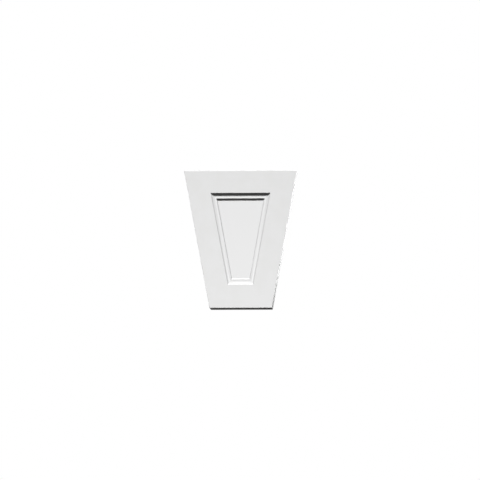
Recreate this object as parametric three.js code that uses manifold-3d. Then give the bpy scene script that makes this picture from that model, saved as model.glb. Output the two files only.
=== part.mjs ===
// Keystone of a door surround: an upright cast block that tapers to its foot, with a sunk panel in its face.
// Millimetres, +Z up. The face looks along -Y and the flat back along +Y, against the wall.
// The origin is the middle of the underside.

import * as THREE from 'three';
import { mergeVertices } from 'three/addons/utils/BufferGeometryUtils.js';
import Module from 'manifold-3d';

// The block
const HEIGHT = 180;
const HEAD_WIDTH = 148;
const FOOT_WIDTH = 81.5;
const DEPTH = 45;
const ARRIS_RADIUS = 0.5;

// The panel moulding, from the border inwards: a hollow, a narrow flat and a small hollow down to the field
const BORDER_WIDTH = 29.2;
const FOOT_BORDER_WIDTH = 30.8;
const COVE_WIDTH = 4.9;
const COVE_DEPTH = 3.6;
const FILLET_WIDTH = 2.1;
const INNER_COVE_WIDTH = 1.8;
const FIELD_DEPTH = 5.8;

// Width of the moulding along the slanting sides, as a share of that along the head and the foot
const SIDE_SHARE = 0.85;

// The cast finish
const PRIMER_COLOUR = 0xededed;
const PRIMER_ROUGHNESS = 0.55;

// Pairs of sides on each quarter round of a section
const ARC_PAIRS = 4;

// Lengths that only have to reach past the block
const PAST_BLOCK = HEIGHT + HEAD_WIDTH;
const IN_FRONT_OF_FACE = 5;

const QUARTER_TURN = Math.PI / 2;
const HALF_TURN = Math.PI;
const TOWARDS_WALL = new THREE.Vector3(0, 1, 0);

const wasm = await Module();
wasm.setup();

// The block's corners, clockwise as seen from the front
function outlineCorners() {
  return [
    new THREE.Vector3(-FOOT_WIDTH / 2, 0, 0),
    new THREE.Vector3(-HEAD_WIDTH / 2, 0, HEIGHT),
    new THREE.Vector3(HEAD_WIDTH / 2, 0, HEIGHT),
    new THREE.Vector3(FOOT_WIDTH / 2, 0, 0),
  ];
}

// Section of the block at one side: x runs inwards from the outline, y from the face to the back
function blockSection() {
  const section = new THREE.Shape();
  section.moveTo(0, DEPTH);
  section.lineTo(0, ARRIS_RADIUS);
  section.absarc(ARRIS_RADIUS, ARRIS_RADIUS, ARRIS_RADIUS, HALF_TURN, HALF_TURN + QUARTER_TURN, false);
  section.lineTo(PAST_BLOCK, 0);
  section.lineTo(PAST_BLOCK, DEPTH);
  return section;
}

// Section of the space in front of the panel moulding, inside a border, in the same directions
function recessSection(borderWidth, share) {
  const coveWidth = COVE_WIDTH * share;
  const innerWidth = INNER_COVE_WIDTH * share;
  const innerDepth = FIELD_DEPTH - COVE_DEPTH;
  const coveEnd = borderWidth + coveWidth;
  const filletEnd = coveEnd + FILLET_WIDTH * share;
  const innerEnd = filletEnd + innerWidth;
  const section = new THREE.Shape();
  section.moveTo(borderWidth, -IN_FRONT_OF_FACE);
  section.lineTo(borderWidth, 0);
  section.absellipse(coveEnd, 0, coveWidth, COVE_DEPTH, HALF_TURN, QUARTER_TURN, true);
  section.lineTo(filletEnd, COVE_DEPTH);
  section.absellipse(innerEnd, COVE_DEPTH, innerWidth, innerDepth, HALF_TURN, QUARTER_TURN, true);
  section.lineTo(PAST_BLOCK, FIELD_DEPTH);
  section.lineTo(PAST_BLOCK, -IN_FRONT_OF_FACE);
  return section;
}

function solidOf(geometry) {
  geometry.deleteAttribute('normal');
  geometry.deleteAttribute('uv');
  const merged = mergeVertices(geometry);
  return new wasm.Manifold(new wasm.Mesh({
    numProp: 3,
    vertProperties: new Float32Array(merged.attributes.position.array),
    triVerts: new Uint32Array(merged.index.array),
  }));
}

// A straight run of a section along the side from one corner to the next, and past both
function runAlong(section, from, to) {
  const along = to.clone().sub(from).normalize();
  const inwards = TOWARDS_WALL.clone().cross(along);
  const start = from.clone().addScaledVector(along, -PAST_BLOCK);
  start.y = -DEPTH / 2;
  const run = new THREE.ExtrudeGeometry(section, {
    depth: from.distanceTo(to) + 2 * PAST_BLOCK,
    curveSegments: ARC_PAIRS,
    bevelEnabled: false,
  });
  run.applyMatrix4(new THREE.Matrix4().makeBasis(inwards, TOWARDS_WALL, along).setPosition(start));
  return solidOf(run);
}

// What runs of the left, head, right and foot sections share: they meet in mitres at the corners
function mitredRuns(sections) {
  const corners = outlineCorners();
  const runs = corners.map((from, i) => runAlong(sections[i], from, corners[(i + 1) % corners.length]));
  return runs.reduce((shared, run) => shared.intersect(run));
}

function geometryOf(solid) {
  const mesh = solid.getMesh();
  const geometry = new THREE.BufferGeometry();
  geometry.setAttribute('position', new THREE.BufferAttribute(mesh.vertProperties, mesh.numProp));
  geometry.setIndex(new THREE.BufferAttribute(mesh.triVerts, 1));
  return geometry;
}

function makeKeystone() {
  const primer = new THREE.MeshStandardMaterial({
    color: PRIMER_COLOUR,
    roughness: PRIMER_ROUGHNESS,
    metalness: 0,
    flatShading: true,
  });
  const edge = blockSection();
  const block = mitredRuns([edge, edge, edge, edge]);
  const sideMoulding = recessSection(BORDER_WIDTH, SIDE_SHARE);
  const headMoulding = recessSection(BORDER_WIDTH, 1);
  const footMoulding = recessSection(FOOT_BORDER_WIDTH, 1);
  const recess = mitredRuns([sideMoulding, headMoulding, sideMoulding, footMoulding]);
  const casting = block.subtract(recess);
  const keystone = new THREE.Mesh(geometryOf(casting), primer);
  keystone.name = 'keystone';
  return keystone;
}

const object = new THREE.Group();
object.add(makeKeystone());

export default object;
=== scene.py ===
"""A white primed keystone for the head of a door surround, dressed for its studio picture."""

import math

import bmesh
import bpy
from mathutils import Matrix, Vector


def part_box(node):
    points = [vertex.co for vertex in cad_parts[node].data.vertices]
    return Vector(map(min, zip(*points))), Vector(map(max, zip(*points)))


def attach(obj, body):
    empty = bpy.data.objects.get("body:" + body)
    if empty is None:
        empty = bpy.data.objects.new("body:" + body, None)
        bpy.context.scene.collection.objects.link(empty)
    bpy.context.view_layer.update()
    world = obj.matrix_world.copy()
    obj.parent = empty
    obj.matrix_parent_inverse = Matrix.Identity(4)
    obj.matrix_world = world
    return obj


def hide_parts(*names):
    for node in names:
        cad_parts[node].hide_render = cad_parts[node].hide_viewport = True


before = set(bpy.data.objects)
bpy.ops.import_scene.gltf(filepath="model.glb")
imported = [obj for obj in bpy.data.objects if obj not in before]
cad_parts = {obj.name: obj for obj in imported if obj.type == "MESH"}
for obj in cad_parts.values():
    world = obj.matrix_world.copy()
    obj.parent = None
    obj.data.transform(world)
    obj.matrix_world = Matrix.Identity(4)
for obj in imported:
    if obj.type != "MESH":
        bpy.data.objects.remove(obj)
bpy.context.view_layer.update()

bl_info = {
    "name": "Door Surround Keystone",
    "version": (1, 0, 0),
    "blender": (4, 5, 0),
    "location": "View3D > Sidebar > Keystone",
    "description": "Models and finishes a cast keystone with a sunk panel, and sets its studio stage",
    "category": "Add Mesh",
}

NODE = "keystone"
BODY = "root"
SLOT = "primed_casting"
# A face layer of painted light: 1 paints the sunk level parts lighter, 0 leaves the border and the steep
# walls of the hollows darker, as painted shade
PAINTED_LIGHT = "painted_light"
WHITE = (1.0, 1.0, 1.0, 1.0)

LOW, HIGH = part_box(NODE)
FRONT_Y = LOW.y
BACK_Y = HIGH.y
MILLIMETRE = 0.001
TOUCHING = 0.01 * MILLIMETRE

# How finely the rounded edges, the hollows and the floor are divided
ARRIS_SEGMENTS = 4
BACK_ARRIS_SEGMENTS = 2
LIP_SEGMENTS = 3
COVE_SIDES = 16
INNER_COVE_SIDES = 10
FLOOR_SIDES = 96

# The profile of a round edge, and the angle from which an edge stays sharp
ROUND_PROFILE = 0.5
SHARP_ANGLE = math.radians(35)

# Where the noise of the spray goes from thin to full, and of the sanded back from solid to open
MIST_THIN, MIST_MIDDLE, MIST_FULL = 0.35, 0.5, 0.65
PORE_CLOSED, PORE_OPEN = 0.66, 0.74

# The spread of a light that shines all round before it, and the azimuth straight behind the casting
WIDE_SPREAD = math.pi
BEHIND = math.pi


def width_at(height):
    """How wide the plain casting is at one height, from the corners that it has there."""
    corners = [v.co.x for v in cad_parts[NODE].data.vertices if abs(v.co.z - height) < TOUCHING]
    return max(corners) - min(corners)


HEAD_WIDTH = width_at(HIGH.z)
FOOT_WIDTH = width_at(LOW.z)


def length(name, description, millimetres, lowest=0.0):
    """A length that the user may change, given in millimetres and kept in metres."""
    return bpy.props.FloatProperty(
        name=name,
        description=description,
        default=millimetres * MILLIMETRE,
        min=lowest * MILLIMETRE,
        unit="LENGTH",
        precision=5,
    )


def angle(name, description, degrees):
    """An angle that the user may change, given in degrees and kept in radians."""
    return bpy.props.FloatProperty(
        name=name,
        description=description,
        default=math.radians(degrees),
        subtype="ANGLE",
    )


def colour(name, description, value):
    """A scene-linear colour that the user may change."""
    return bpy.props.FloatVectorProperty(
        name=name,
        description=description,
        default=value,
        size=4,
        min=0.0,
        max=1.0,
        subtype="COLOR",
    )


def share(name, description, value):
    """A plain number from 0 to 1 that the user may change."""
    return bpy.props.FloatProperty(
        name=name,
        description=description,
        default=value,
        min=0.0,
        max=1.0,
        subtype="FACTOR",
    )


def pitch(name, description, per_metre):
    """How fine a pattern is, roughly in repeats per metre."""
    return bpy.props.FloatProperty(name=name, description=description, default=per_metre, min=0.0)


def power(name, description, watts):
    """A light's power that the user may change, in watts."""
    return bpy.props.FloatProperty(name=name, description=description, default=watts, min=0.0, unit="POWER")


class KeystoneSizes(bpy.types.PropertyGroup):
    """Sizes of the casting, from its outline inwards to the field of the panel."""

    head_width: length("Head width", "Width across the top", HEAD_WIDTH / MILLIMETRE)
    foot_width: length("Foot width", "Width across the underside", FOOT_WIDTH / MILLIMETRE)
    arris: length("Arris", "Radius of the soft cast edges round the face and the corners", 0.5)
    back_arris: length("Back arris", "Radius of the trimmed edge against the wall", 0.3)
    border: length("Border", "Flat border between the outline and the sunk panel", 29.2)
    foot_border: length("Foot border", "Width of the flat border below the panel", 30.8)
    cove: length("Cove", "Width of the hollow that leads in from the border", 4.9)
    cove_depth: length("Cove depth", "Depth of that hollow", 3.6)
    fillet: length("Fillet", "Width of the narrow strip below the cove", 2.1)
    fillet_rise: length("Fillet rise", "How far the strip rises again towards the panel", 0.4)
    inner_cove: length("Inner cove", "Width of the small hollow that drops to the field", 1.8)
    inner_depth: length("Inner depth", "Depth of that small hollow", 2.6)
    side_share: share("Side share", "Width of the side moulding, as a share of the head's and foot's", 0.85)
    lip: length("Lip", "Radius of the moulding's sharp edges under the primer", 0.2)


class KeystoneFinish(bpy.types.PropertyGroup):
    """Colours and surface of the primer and of the bare back."""

    primer: colour("Primer", "White sprayed primer", (0.84, 0.84, 0.84, 1.0))
    primer_thin: colour("Thin primer", "Primer where the spray is thinner", (0.825, 0.825, 0.82, 1.0))
    # Lighter primer that paints light on the sunk level parts, so the steep walls of the hollows read as
    # painted shade
    primer_painted_light: colour("Full primer", "Full coat on the sunk level parts", (0.875, 0.875, 0.875, 1.0))
    foam: colour("Foam", "Bare sanded casting on the back", (0.78, 0.77, 0.74, 1.0))
    pore: colour("Pores", "Open pores in the sanded back", (0.60, 0.59, 0.56, 1.0))
    roughness: share("Roughness", "Roughness of the dry primer", 0.55)
    mist_roughness: share("Mist roughness", "How far the roughness varies with the spray", 0.1)
    back_roughness: share("Back roughness", "How much rougher the bare back is", 0.3)
    specular: share("Specular", "How much light the dry primer mirrors", 0.4)
    mist_pitch: pitch("Mist", "Clouds of thinner and fuller spray", 45.0)
    pore_pitch: pitch("Pores", "Open pores of the sanded back", 900.0)
    peel_pitch: pitch("Peel", "Dimples of the sprayed surface", 1100.0)
    grain_pitch: pitch("Grain", "Fine grains of the dry primer", 4200.0)
    peel_share: share("Peel share", "How much of the relief is dimples, the rest being grain", 0.7)
    relief: length("Relief", "Depth of the dimples, grains and pores", 0.1)
    relief_strength: share("Relief strength", "How strongly that relief shows", 0.12)
    primer_end: length("Primer end", "How far in front of the back the primer begins to thin out", 0.4)
    bare_from: length("Bare from", "How far in front of the back no primer is left", 0.1)


class KeystoneStage(bpy.types.PropertyGroup):
    """Camera, lights, backdrop and floor of the picture."""

    camera_distance: length("Distance", "From the lens to the middle of the face", 5000.0)
    camera_azimuth: angle("Azimuth", "How far the camera stands to the right of the face", 2.0)
    camera_elevation: angle("Elevation", "How far the camera stands above the face's middle", -4.1)
    camera_roll: angle("Roll", "How far the camera leans to its left", -0.08)
    aim_across: length("Aim across", "How far right of the face's middle the camera aims", -0.7, -50.0)
    aim_up: length("Aim up", "How far above the face's middle the camera aims", -1.05, -50.0)
    picture_width: length("Picture width", "What the picture spans at the face", 627.6)
    key_azimuth: angle("Key azimuth", "How far the key light stands to the right of the face", -2.7)
    key_elevation: angle("Key elevation", "How far the key light stands above the face", 48.6)
    key_distance: length("Key distance", "From the key light to the casting", 4500.0)
    key_size: length("Key size", "Side of the key light's square", 600.0)
    key_spread: angle("Key spread", "How wide the key light's beam is", 30.0)
    key_drop: length("Key drop", "How far below the foot the key light's beam is centred", 600.0)
    key_power: power("Key power", "Power of the soft light above the face", 10.15)
    side_azimuth: angle("Side azimuth", "How far round to the right the side light stands", 100.0)
    side_distance: length("Side distance", "From the side light to the casting", 1500.0)
    side_up: length("Side light up", "How far above the head the side light's level beam is centred", 20.0)
    side_cone: angle("Side cone", "How wide the side light's beam is, so that it fades at the foot", 16.8)
    side_fade: share("Side fade", "How much of the beam's width fades", 0.62)
    side_size: length("Side size", "Radius of the side light", 30.0)
    side_power: power("Side power", "Power of the light on the right side", 86.0)
    rear_azimuth: angle("Rear azimuth", "How far round to the left the rear light stands", -140.0)
    rear_elevation: angle("Rear elevation", "How far above the casting the rear light stands", 0.5)
    rear_distance: length("Rear distance", "From the rear light to the casting", 2000.0)
    rear_size: length("Rear size", "Side of the rear light's square", 400.0)
    rear_power: power("Rear power", "Power of the soft light on the back and the left side", 28.0)
    backdrop_distance: length("Backdrop distance", "From the glowing backdrop to the casting", 2500.0)
    backdrop_width: length("Backdrop width", "Width of the backdrop", 1500.0)
    backdrop_height: length("Backdrop height", "Height of the backdrop, which stands on the floor", 400.0)
    backdrop_power: power("Backdrop power", "Power of the backdrop, which the sides mirror", 10.0)
    ambient: share("Ambient", "Strength of the dim light from all round", 0.048)
    floor_colour: colour("Floor", "Pale paper of the floor", (0.9, 0.9, 0.9, 1.0))
    floor_roughness: share("Floor roughness", "Roughness of the paper", 0.9)
    floor_glow: colour("Floor glow", "What the paper gives out near the casting", (0.55, 0.55, 0.55, 1.0))
    floor_near: length("Floor near", "How far from the casting the glow begins to rise", 250.0)
    floor_far: length("Floor far", "How far from the casting the glow is white", 900.0)
    floor_radius: length("Floor radius", "Radius of the floor", 4000.0)
    floor_gap: length("Floor gap", "How far the floor lies under the foot", 0.2)


class Socket:
    """An output of a shader node. Arithmetic on it adds Math nodes and gives the result's socket."""

    def __init__(self, shading, socket):
        self.shading = shading
        self.socket = socket

    def math(self, operation, first, second):
        return self.shading.add("ShaderNodeMath", {"operation": operation}, {0: first, 1: second})

    def __add__(self, other):
        return self.math("ADD", self, other)

    def __radd__(self, other):
        return self.math("ADD", other, self)

    def __sub__(self, other):
        return self.math("SUBTRACT", self, other)

    def __rsub__(self, other):
        return self.math("SUBTRACT", other, self)

    def __mul__(self, other):
        return self.math("MULTIPLY", self, other)

    def __rmul__(self, other):
        return self.math("MULTIPLY", other, self)


class Shading:
    """The node tree of a material or of the world, with one method that adds any node."""

    MIX_FACTOR = 0
    MIX_COLOUR_A = 6
    MIX_COLOUR_B = 7
    MIX_COLOUR_OUT = 2

    def __init__(self, owner):
        owner.use_nodes = True
        self.tree = owner.node_tree
        self.tree.nodes.clear()

    def add(self, kind, settings=None, inputs=None, output=0):
        node = self.tree.nodes.new(kind)
        for name, value in (settings or {}).items():
            setattr(node, name, value)
        for key, value in (inputs or {}).items():
            if isinstance(value, Socket):
                self.tree.links.new(value.socket, node.inputs[key])
            else:
                node.inputs[key].default_value = value
        return Socket(self, node.outputs[output]) if len(node.outputs) else None

    def mix(self, factor, first, second):
        inputs = {self.MIX_FACTOR: factor, self.MIX_COLOUR_A: first, self.MIX_COLOUR_B: second}
        return self.add("ShaderNodeMix", {"data_type": "RGBA"}, inputs, self.MIX_COLOUR_OUT)

    def blend(self, factor, first, second):
        return self.add("ShaderNodeMixShader", {}, {0: factor, 1: first, 2: second})

    def noise(self, place, scale, detail=2.0, roughness=0.5):
        inputs = {"Vector": place, "Scale": scale, "Detail": detail, "Roughness": roughness}
        return self.add("ShaderNodeTexNoise", {}, inputs)

    def ramp(self, value, low, high):
        inputs = {"Value": value, "From Min": low, "From Max": high}
        return self.add("ShaderNodeMapRange", {"interpolation_type": "SMOOTHSTEP"}, inputs)


def primed_casting(finish):
    """White primer sprayed over rigid foam, with the bare sanded foam showing on the back."""
    material = bpy.data.materials.new(SLOT)
    shading = Shading(material)
    place = shading.add("ShaderNodeTexCoord", output="Object")
    depth = shading.add("ShaderNodeSeparateXYZ", {}, {"Vector": place}, "Y")
    on_back = shading.ramp(depth, BACK_Y - finish.primer_end, BACK_Y - finish.bare_from)

    mist = shading.noise(place, finish.mist_pitch, detail=3.0, roughness=0.6)
    full = shading.ramp(mist, MIST_THIN, MIST_FULL)
    misted = shading.mix(full, tuple(finish.primer_thin), tuple(finish.primer))
    # Painted light and shade: level sunk parts take the lighter primer, steep hollow walls and the border
    # keep the plain one
    painted_light = shading.add("ShaderNodeAttribute", {"attribute_name": PAINTED_LIGHT}, output="Fac")
    primer = shading.mix(painted_light, misted, tuple(finish.primer_painted_light))
    bubbles = shading.noise(place, finish.pore_pitch, roughness=0.7)
    pores = shading.ramp(bubbles, PORE_CLOSED, PORE_OPEN)
    foam = shading.mix(pores, tuple(finish.foam), tuple(finish.pore))
    base = shading.mix(on_back, primer, foam)

    peel = shading.noise(place, finish.peel_pitch)
    grain = shading.noise(place, finish.grain_pitch, detail=1.0)
    sprayed = peel * finish.peel_share + grain * (1.0 - finish.peel_share)
    relief = sprayed * (1.0 - on_back) + (1.0 - pores) * on_back
    heights = {"Strength": finish.relief_strength, "Distance": finish.relief, "Height": relief}
    bump = shading.add("ShaderNodeBump", {}, heights)
    primed_roughness = finish.roughness + (mist - MIST_MIDDLE) * finish.mist_roughness
    roughness = primed_roughness + on_back * finish.back_roughness
    shader = shading.add(
        "ShaderNodeBsdfPrincipled",
        {},
        {"Base Color": base, "Roughness": roughness, "Normal": bump, "Specular IOR Level": finish.specular},
    )
    shading.add("ShaderNodeOutputMaterial", {}, {"Surface": shader})
    return material


def soften(bm, edges, radius, segments):
    """Rounds edges off by a small radius."""
    bmesh.ops.bevel(
        bm,
        geom=edges,
        offset=radius,
        offset_type="OFFSET",
        segments=segments,
        profile=ROUND_PROFILE,
        affect="EDGES",
        material=-1,
        clamp_overlap=True,
    )


def edges_between(bm, first_y, second_y):
    """The edges with one end at each of two depths, or along one depth where both are the same."""
    wanted = sorted((first_y, second_y))
    found = []
    for edge in bm.edges:
        ends = sorted(v.co.y for v in edge.verts)
        if all(abs(end - want) < TOUCHING for end, want in zip(ends, wanted)):
            found.append(edge)
    return found


def cast_block(bm, sizes):
    """The plain wedge: its outline laid on the wall plane and drawn out to the face."""
    half_head = sizes.head_width / 2
    half_foot = sizes.foot_width / 2
    outline = ((-half_foot, LOW.z), (half_foot, LOW.z), (half_head, HIGH.z), (-half_head, HIGH.z))
    back = bm.faces.new([bm.verts.new((x, BACK_Y, z)) for x, z in outline])
    drawn = bmesh.ops.extrude_face_region(bm, geom=[back])["geom"]
    front = [v for v in drawn if isinstance(v, bmesh.types.BMVert)]
    bmesh.ops.translate(bm, verts=front, vec=(0.0, FRONT_Y - BACK_Y, 0.0))
    bmesh.ops.recalc_face_normals(bm, faces=bm.faces[:])


def soften_block(bm, sizes):
    """Gives the block the soft arrises of a casting, and a tighter one where it was trimmed at the back."""
    face_edges = edges_between(bm, FRONT_Y, FRONT_Y)
    corner_edges = edges_between(bm, FRONT_Y, BACK_Y)
    soften(bm, face_edges + corner_edges, sizes.arris, ARRIS_SEGMENTS)
    soften(bm, edges_between(bm, BACK_Y, BACK_Y), sizes.back_arris, BACK_ARRIS_SEGMENTS)


def hollow(start, width, drop, sides):
    """A quarter oval hollow from a point of the moulding: it drops square and ends level."""
    inward, depth = start
    turns = [math.pi / 2 * side / sides for side in range(1, sides + 1)]
    return [(inward + width * (1 - math.cos(turn)), depth + drop * math.sin(turn)) for turn in turns]


def draw_in_ends(bm, panel, foot, head):
    """Draws the panel's lower edge up and its upper edge down, along its slanting sides."""
    shifts = []
    for side in panel.edges:
        low, high = sorted(side.verts, key=lambda v: v.co.z)
        rise = high.co - low.co
        if rise.z > TOUCHING:
            shifts.append((low, rise * (foot / rise.z)))
            shifts.append((high, rise * (-head / rise.z)))
    for corner, shift in shifts:
        bmesh.ops.translate(bm, verts=[corner], vec=shift)


def sink_ring(bm, panel, points, side_share):
    """Walks the panel inwards along a stretch of the moulding, with mitred corners and narrower sides.

    Each ring also carries painted light: a level ring is painted lighter, a steep one stays darker as
    painted shade in the hollow.
    """
    painted_light = bm.faces.layers.float[PAINTED_LIGHT]
    for (inward, depth), (next_inward, next_depth) in zip(points, points[1:]):
        step = next_inward - inward
        ring = bmesh.ops.inset_region(
            bm,
            faces=[panel],
            thickness=step * side_share,
            depth=depth - next_depth,
            use_even_offset=True,
        )["faces"]
        rest = step * (1 - side_share)
        draw_in_ends(bm, panel, rest, rest)
        steepness = math.sin(math.atan2(next_depth - depth, step))
        for face in ring:
            face[painted_light] = 1 - steepness ** 2
    # The field is painted fully lighter, as painted light
    panel[painted_light] = 1.0


def sink_panel(bm, sizes):
    """Sinks the panel into the face: a cove, a narrow rising strip and a small cove down to the field."""
    # The layer for the painted light of the sunk level parts and the painted shade of the steep walls
    bm.faces.layers.float.new(PAINTED_LIGHT)
    panel = min(bm.faces, key=lambda face: face.calc_center_median().y)
    bmesh.ops.inset_region(bm, faces=[panel], thickness=sizes.border - sizes.arris, use_even_offset=True)
    draw_in_ends(bm, panel, sizes.foot_border - sizes.border, 0.0)
    outer_lip = panel.edges[:]
    border_edge = (0.0, 0.0)
    shoulder = (sizes.cove + sizes.fillet, sizes.cove_depth - sizes.fillet_rise)
    cove = hollow(border_edge, sizes.cove, sizes.cove_depth, COVE_SIDES)
    inner_cove = hollow(shoulder, sizes.inner_cove, sizes.inner_depth, INNER_COVE_SIDES)
    sink_ring(bm, panel, [border_edge, *cove, shoulder], sizes.side_share)
    inner_lip = panel.edges[:]
    sink_ring(bm, panel, [shoulder, *inner_cove], sizes.side_share)
    soften(bm, outer_lip + inner_lip, sizes.lip, LIP_SEGMENTS)


def finish_piece(bm, name, material):
    """Turns the modelled faces into the finished piece that stands for the plain casting.

    The photographed hollows show hardly any light that the casting throws on itself, so it throws none.
    """
    bmesh.ops.remove_doubles(bm, verts=bm.verts[:], dist=TOUCHING)
    for face in bm.faces:
        face.smooth = True
    mesh = bpy.data.meshes.new(name)
    bm.to_mesh(mesh)
    bm.free()
    mesh.set_sharp_from_angle(angle=SHARP_ANGLE)
    mesh.materials.append(material)
    piece = bpy.data.objects.new(name, mesh)
    bpy.context.scene.collection.objects.link(piece)
    normals = piece.modifiers.new("weighted_normals", "WEIGHTED_NORMAL")
    normals.keep_sharp = True
    piece.visible_diffuse = False
    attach(piece, BODY)
    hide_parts(NODE)
    return piece


class MESH_OT_keystone_casting(bpy.types.Operator):
    """Models the keystone as one casting and primes it"""

    bl_idname = "mesh.keystone_casting"
    bl_label = "Keystone Casting"
    bl_options = {"REGISTER", "UNDO"}

    def execute(self, context):
        sizes = context.scene.keystone_sizes
        bm = bmesh.new()
        cast_block(bm, sizes)
        soften_block(bm, sizes)
        sink_panel(bm, sizes)
        finish_piece(bm, "keystone_casting", primed_casting(context.scene.keystone_finish))
        return {"FINISHED"}


def direction(azimuth, elevation):
    """Unit vector from the object towards a place, with azimuth 0 in front of the face."""
    flat = math.cos(elevation)
    return Vector((math.sin(azimuth) * flat, -math.cos(azimuth) * flat, math.sin(elevation)))


def aim(thing, target):
    """Turns a camera or a light towards a point."""
    thing.rotation_euler = (target - thing.location).to_track_quat("-Z", "Y").to_euler()


def add_camera(context, stage, middle):
    """A long lens at the photograph's angle, just below and to the right of the face's middle."""
    data = bpy.data.cameras.new("camera")
    data.lens = data.sensor_width * stage.camera_distance / stage.picture_width
    camera = bpy.data.objects.new("camera", data)
    context.scene.collection.objects.link(camera)
    towards_camera = direction(stage.camera_azimuth, stage.camera_elevation)
    camera.location = middle + towards_camera * stage.camera_distance
    aim(camera, middle + Vector((stage.aim_across, 0.0, stage.aim_up)))
    camera.rotation_euler.rotate_axis("Z", stage.camera_roll)
    context.scene.camera = camera


def place_light(context, data, place, target):
    """Stands a light in the studio, looking at a point, where the camera doesn't see it."""
    light = bpy.data.objects.new(data.name, data)
    context.scene.collection.objects.link(light)
    light.location = place
    aim(light, target)
    light.visible_camera = False


def add_soft_light(context, name, place, target, width, height, spread, watts):
    """A soft light of some width and height that looks at a point."""
    data = bpy.data.lights.new(name, "AREA")
    data.shape = "RECTANGLE"
    data.size = width
    data.size_y = height
    data.spread = spread
    data.energy = watts
    place_light(context, data, place, target)


def floor_paper(stage):
    """Pale paper that glows to white further out, and is clear from below."""
    material = bpy.data.materials.new("floor_paper")
    shading = Shading(material)
    from_below = shading.add("ShaderNodeNewGeometry", output="Backfacing")
    place = shading.add("ShaderNodeTexCoord", output="Object")
    away = shading.add("ShaderNodeVectorMath", {"operation": "LENGTH"}, {0: place}, "Value")
    far = shading.ramp(away, stage.floor_near, stage.floor_far)
    paper = shading.add(
        "ShaderNodeBsdfPrincipled",
        {},
        {
            "Base Color": tuple(stage.floor_colour),
            "Roughness": stage.floor_roughness,
            "Emission Color": shading.mix(far, tuple(stage.floor_glow), WHITE),
            "Emission Strength": 1.0,
        },
    )
    clear = shading.add("ShaderNodeBsdfTransparent")
    shading.add("ShaderNodeOutputMaterial", {}, {"Surface": shading.blend(from_below, paper, clear)})
    return material


def add_floor(context, stage):
    """A pale floor under the foot, open to a view from below and shedding no light on the casting."""
    bm = bmesh.new()
    bmesh.ops.create_circle(bm, cap_ends=True, radius=stage.floor_radius, segments=FLOOR_SIDES)
    bmesh.ops.translate(bm, verts=bm.verts[:], vec=(0.0, 0.0, LOW.z - stage.floor_gap))
    mesh = bpy.data.meshes.new("floor")
    bm.to_mesh(mesh)
    bm.free()
    mesh.materials.append(floor_paper(stage))
    floor = bpy.data.objects.new("floor", mesh)
    context.scene.collection.objects.link(floor)
    floor.visible_diffuse = False
    floor.visible_glossy = False
    floor.visible_shadow = False


def light_world(context, strength):
    """White behind the object, and a dim even light on it."""
    world = bpy.data.worlds.new("studio")
    context.scene.world = world
    shading = Shading(world)
    seen = shading.add("ShaderNodeLightPath", output="Is Camera Ray")
    dim = shading.add("ShaderNodeBackground", {}, {"Color": WHITE, "Strength": strength})
    white = shading.add("ShaderNodeBackground", {}, {"Color": WHITE})
    shading.add("ShaderNodeOutputWorld", {}, {"Surface": shading.blend(seen, dim, white)})


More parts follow.
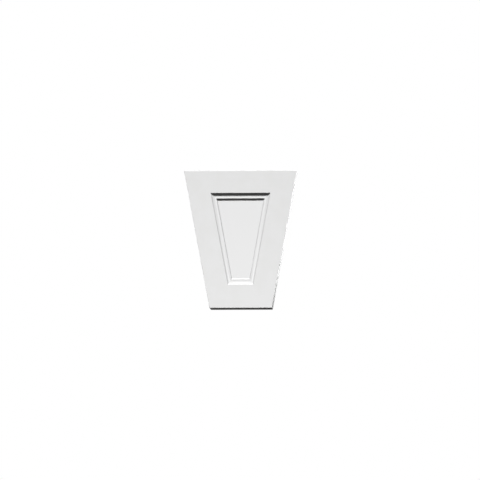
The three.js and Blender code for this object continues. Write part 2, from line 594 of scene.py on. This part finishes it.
def add_lights(context, stage, middle):
    """A key light from above the face, lights on the right side and the back, and a glowing backdrop."""
    foot = Vector((0.0, FRONT_Y, LOW.z))
    below_foot = foot - Vector((0.0, 0.0, stage.key_drop))
    key = middle + direction(stage.key_azimuth, stage.key_elevation) * stage.key_distance
    size = stage.key_size
    add_soft_light(context, "key_light", key, below_foot, size, size, stage.key_spread, stage.key_power)

    above_head = Vector((0.0, FRONT_Y, HIGH.z + stage.side_up))
    side = above_head + direction(stage.side_azimuth, 0.0) * stage.side_distance
    spot = bpy.data.lights.new("side_light", "SPOT")
    spot.spot_size = stage.side_cone
    spot.spot_blend = stage.side_fade
    spot.shadow_soft_size = stage.side_size
    spot.energy = stage.side_power
    place_light(context, spot, side, above_head)

    rear = middle + direction(stage.rear_azimuth, stage.rear_elevation) * stage.rear_distance
    size = stage.rear_size
    add_soft_light(context, "rear_light", rear, middle, size, size, WIDE_SPREAD, stage.rear_power)

    width = stage.backdrop_width
    height = stage.backdrop_height
    above_foot = foot + Vector((0.0, 0.0, height / 2))
    rear_wall = above_foot + direction(BEHIND, 0.0) * stage.backdrop_distance
    watts = stage.backdrop_power
    add_soft_light(context, "backdrop", rear_wall, above_foot, width, height, WIDE_SPREAD, watts)


class SCENE_OT_keystone_stage(bpy.types.Operator):
    """Sets the floor, the light and the camera"""

    bl_idname = "scene.keystone_stage"
    bl_label = "Studio Stage"
    bl_options = {"REGISTER", "UNDO"}

    def execute(self, context):
        stage = context.scene.keystone_stage
        middle = Vector((0.0, FRONT_Y, (LOW.z + HIGH.z) / 2))
        context.scene.view_settings.view_transform = "Standard"
        add_floor(context, stage)
        light_world(context, stage.ambient)
        add_lights(context, stage, middle)
        add_camera(context, stage, middle)
        return {"FINISHED"}


class VIEW3D_PT_keystone(bpy.types.Panel):
    """Sizes, finish and stage of the keystone"""

    bl_idname = "VIEW3D_PT_keystone"
    bl_label = "Keystone"
    bl_space_type = "VIEW_3D"
    bl_region_type = "UI"
    bl_category = "Keystone"

    def draw(self, context):
        scene = context.scene
        for group, operator in (
            (scene.keystone_sizes, "mesh.keystone_casting"),
            (scene.keystone_finish, None),
            (scene.keystone_stage, "scene.keystone_stage"),
        ):
            box = self.layout.box()
            for name in group.__annotations__:
                box.prop(group, name)
            if operator:
                box.operator(operator)


CLASSES = (
    KeystoneSizes,
    KeystoneFinish,
    KeystoneStage,
    MESH_OT_keystone_casting,
    SCENE_OT_keystone_stage,
    VIEW3D_PT_keystone,
)


def register():
    for each in CLASSES:
        bpy.utils.register_class(each)
    bpy.types.Scene.keystone_sizes = bpy.props.PointerProperty(type=KeystoneSizes)
    bpy.types.Scene.keystone_finish = bpy.props.PointerProperty(type=KeystoneFinish)
    bpy.types.Scene.keystone_stage = bpy.props.PointerProperty(type=KeystoneStage)


def unregister():
    del bpy.types.Scene.keystone_stage
    del bpy.types.Scene.keystone_finish
    del bpy.types.Scene.keystone_sizes
    for each in reversed(CLASSES):
        bpy.utils.unregister_class(each)


def main():
    register()
    bpy.ops.mesh.keystone_casting()
    bpy.ops.scene.keystone_stage()


if __name__ == "__main__":
    main()
